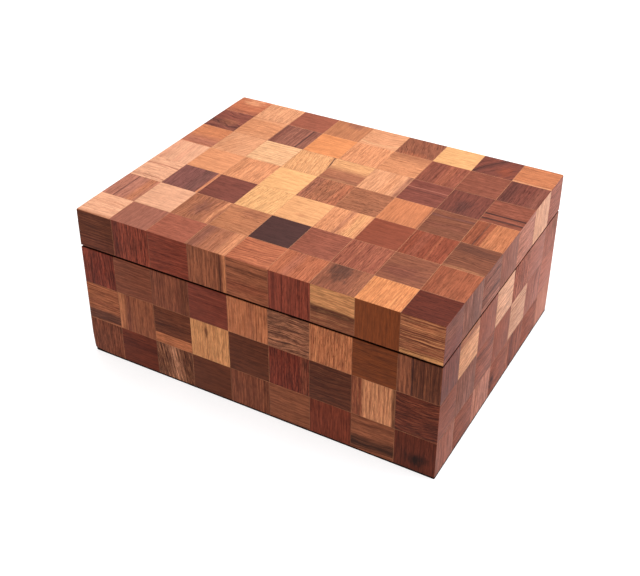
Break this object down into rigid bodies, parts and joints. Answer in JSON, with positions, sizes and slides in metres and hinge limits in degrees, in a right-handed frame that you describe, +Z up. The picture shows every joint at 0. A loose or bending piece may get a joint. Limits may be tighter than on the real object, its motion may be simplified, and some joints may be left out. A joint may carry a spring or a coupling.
{
  "type": "humidor",
  "caption": "Rectangular wooden humidor faced with a patchwork of mixed-wood squares, with a hinged lid, cedar lining, dial hygrometer, clip-on humidifier and loose divider.",
  "frame": {"origin": "middle of the footprint (hinge barrels included), on the plane that the felt stands on", "axes": "+X along the front from left to right as seen from the front, +Y from the front to the hinges at the back, +Z up"},
  "size_m": [0.26, 0.2052, 0.114],
  "materials": {
    "mosaic_wood": "squares of mixed hardwoods, grain turned from square to square, satin lacquer",
    "carcase_wood": "sanded boards",
    "spanish_cedar": "bare planed cedar",
    "felt": "thin dark felt",
    "brass": "polished",
    "coil_brass": "thin strip",
    "black_metal": "black enamel",
    "needle_black": "matt black",
    "dial_card": "printed card",
    "clear_lens": "polished",
    "steel": "brushed",
    "magnet": "nickel plated",
    "black_plastic": "fine moulded texture",
    "green_foam": "stiff open foam"
  },
  "bodies": {
    "case": {"felt_base": "felt", "base_bottom_board": "carcase_wood", "base_front_board": "carcase_wood", "base_back_board": "carcase_wood", "base_left_board": "carcase_wood", "base_right_board": "carcase_wood", "base_front_tiles": "mosaic_wood", "base_back_tiles": "mosaic_wood", "base_left_tiles": "mosaic_wood", "base_right_tiles": "mosaic_wood", "cedar_floor": "spanish_cedar", "base_front_cedar": "spanish_cedar", "base_back_cedar": "spanish_cedar", "base_left_cedar": "spanish_cedar", "base_right_cedar": "spanish_cedar", "hinge_left_base_leaf": "brass", "hinge_left_pin": "brass", "hinge_left_base_screw_1": "brass", "hinge_left_base_screw_2": "brass", "hinge_right_base_leaf": "brass", "hinge_right_pin": "brass", "hinge_right_base_screw_1": "brass", "hinge_right_base_screw_2": "brass"},
    "lid": {"lid_front_rail": "carcase_wood", "lid_back_rail": "carcase_wood", "lid_left_rail": "carcase_wood", "lid_right_rail": "carcase_wood", "lid_top_board": "carcase_wood", "lid_front_tiles": "mosaic_wood", "lid_back_tiles": "mosaic_wood", "lid_left_tiles": "mosaic_wood", "lid_right_tiles": "mosaic_wood", "lid_top_tiles": "mosaic_wood", "lid_cedar_ceiling": "spanish_cedar", "lid_front_cedar": "spanish_cedar", "lid_back_cedar": "spanish_cedar", "lid_left_cedar": "spanish_cedar", "lid_right_cedar": "spanish_cedar", "hygrometer_case": "black_metal", "hygrometer_dial": "dial_card", "hygrometer_bezel": "brass", "hygrometer_lens": "clear_lens", "hygrometer_coil": "coil_brass", "humidifier_lid_plate": "steel", "hinge_left_lid_leaf": "brass", "hinge_left_lid_screw_1": "brass", "hinge_left_lid_screw_2": "brass", "hinge_right_lid_leaf": "brass", "hinge_right_lid_screw_1": "brass", "hinge_right_lid_screw_2": "brass"},
    "divider": {"cedar_divider": "spanish_cedar"},
    "humidifier": {"humidifier_case": "black_plastic", "humidifier_magnet_left": "magnet", "humidifier_magnet_right": "magnet", "humidifier_foam": "green_foam", "humidifier_grille": "black_plastic"},
    "needle": {"hygrometer_needle": "needle_black"}
  },
  "joints": [
    {"name": "lid_hinge", "type": "hinge", "parent": "case", "child": "lid", "pos_m": [0, 0.1002, 0.0859], "axis": [-1, 0, 0], "range_deg": [0, 95]},
    {"name": "divider_slide", "type": "slide", "parent": "case", "child": "divider", "axis": [1, 0, 0], "range_m": [-0.137, 0.087]},
    {"name": "humidifier_pull", "type": "slide", "parent": "lid", "child": "humidifier", "axis": [0, 0, -1], "range_m": [0, 0.02]},
    {"name": "needle_turn", "type": "hinge", "parent": "lid", "child": "needle", "pos_m": [0.062, -0.0026, 0.103], "axis": [0, 0, 1], "range_deg": [-189, 81]}
  ]
}
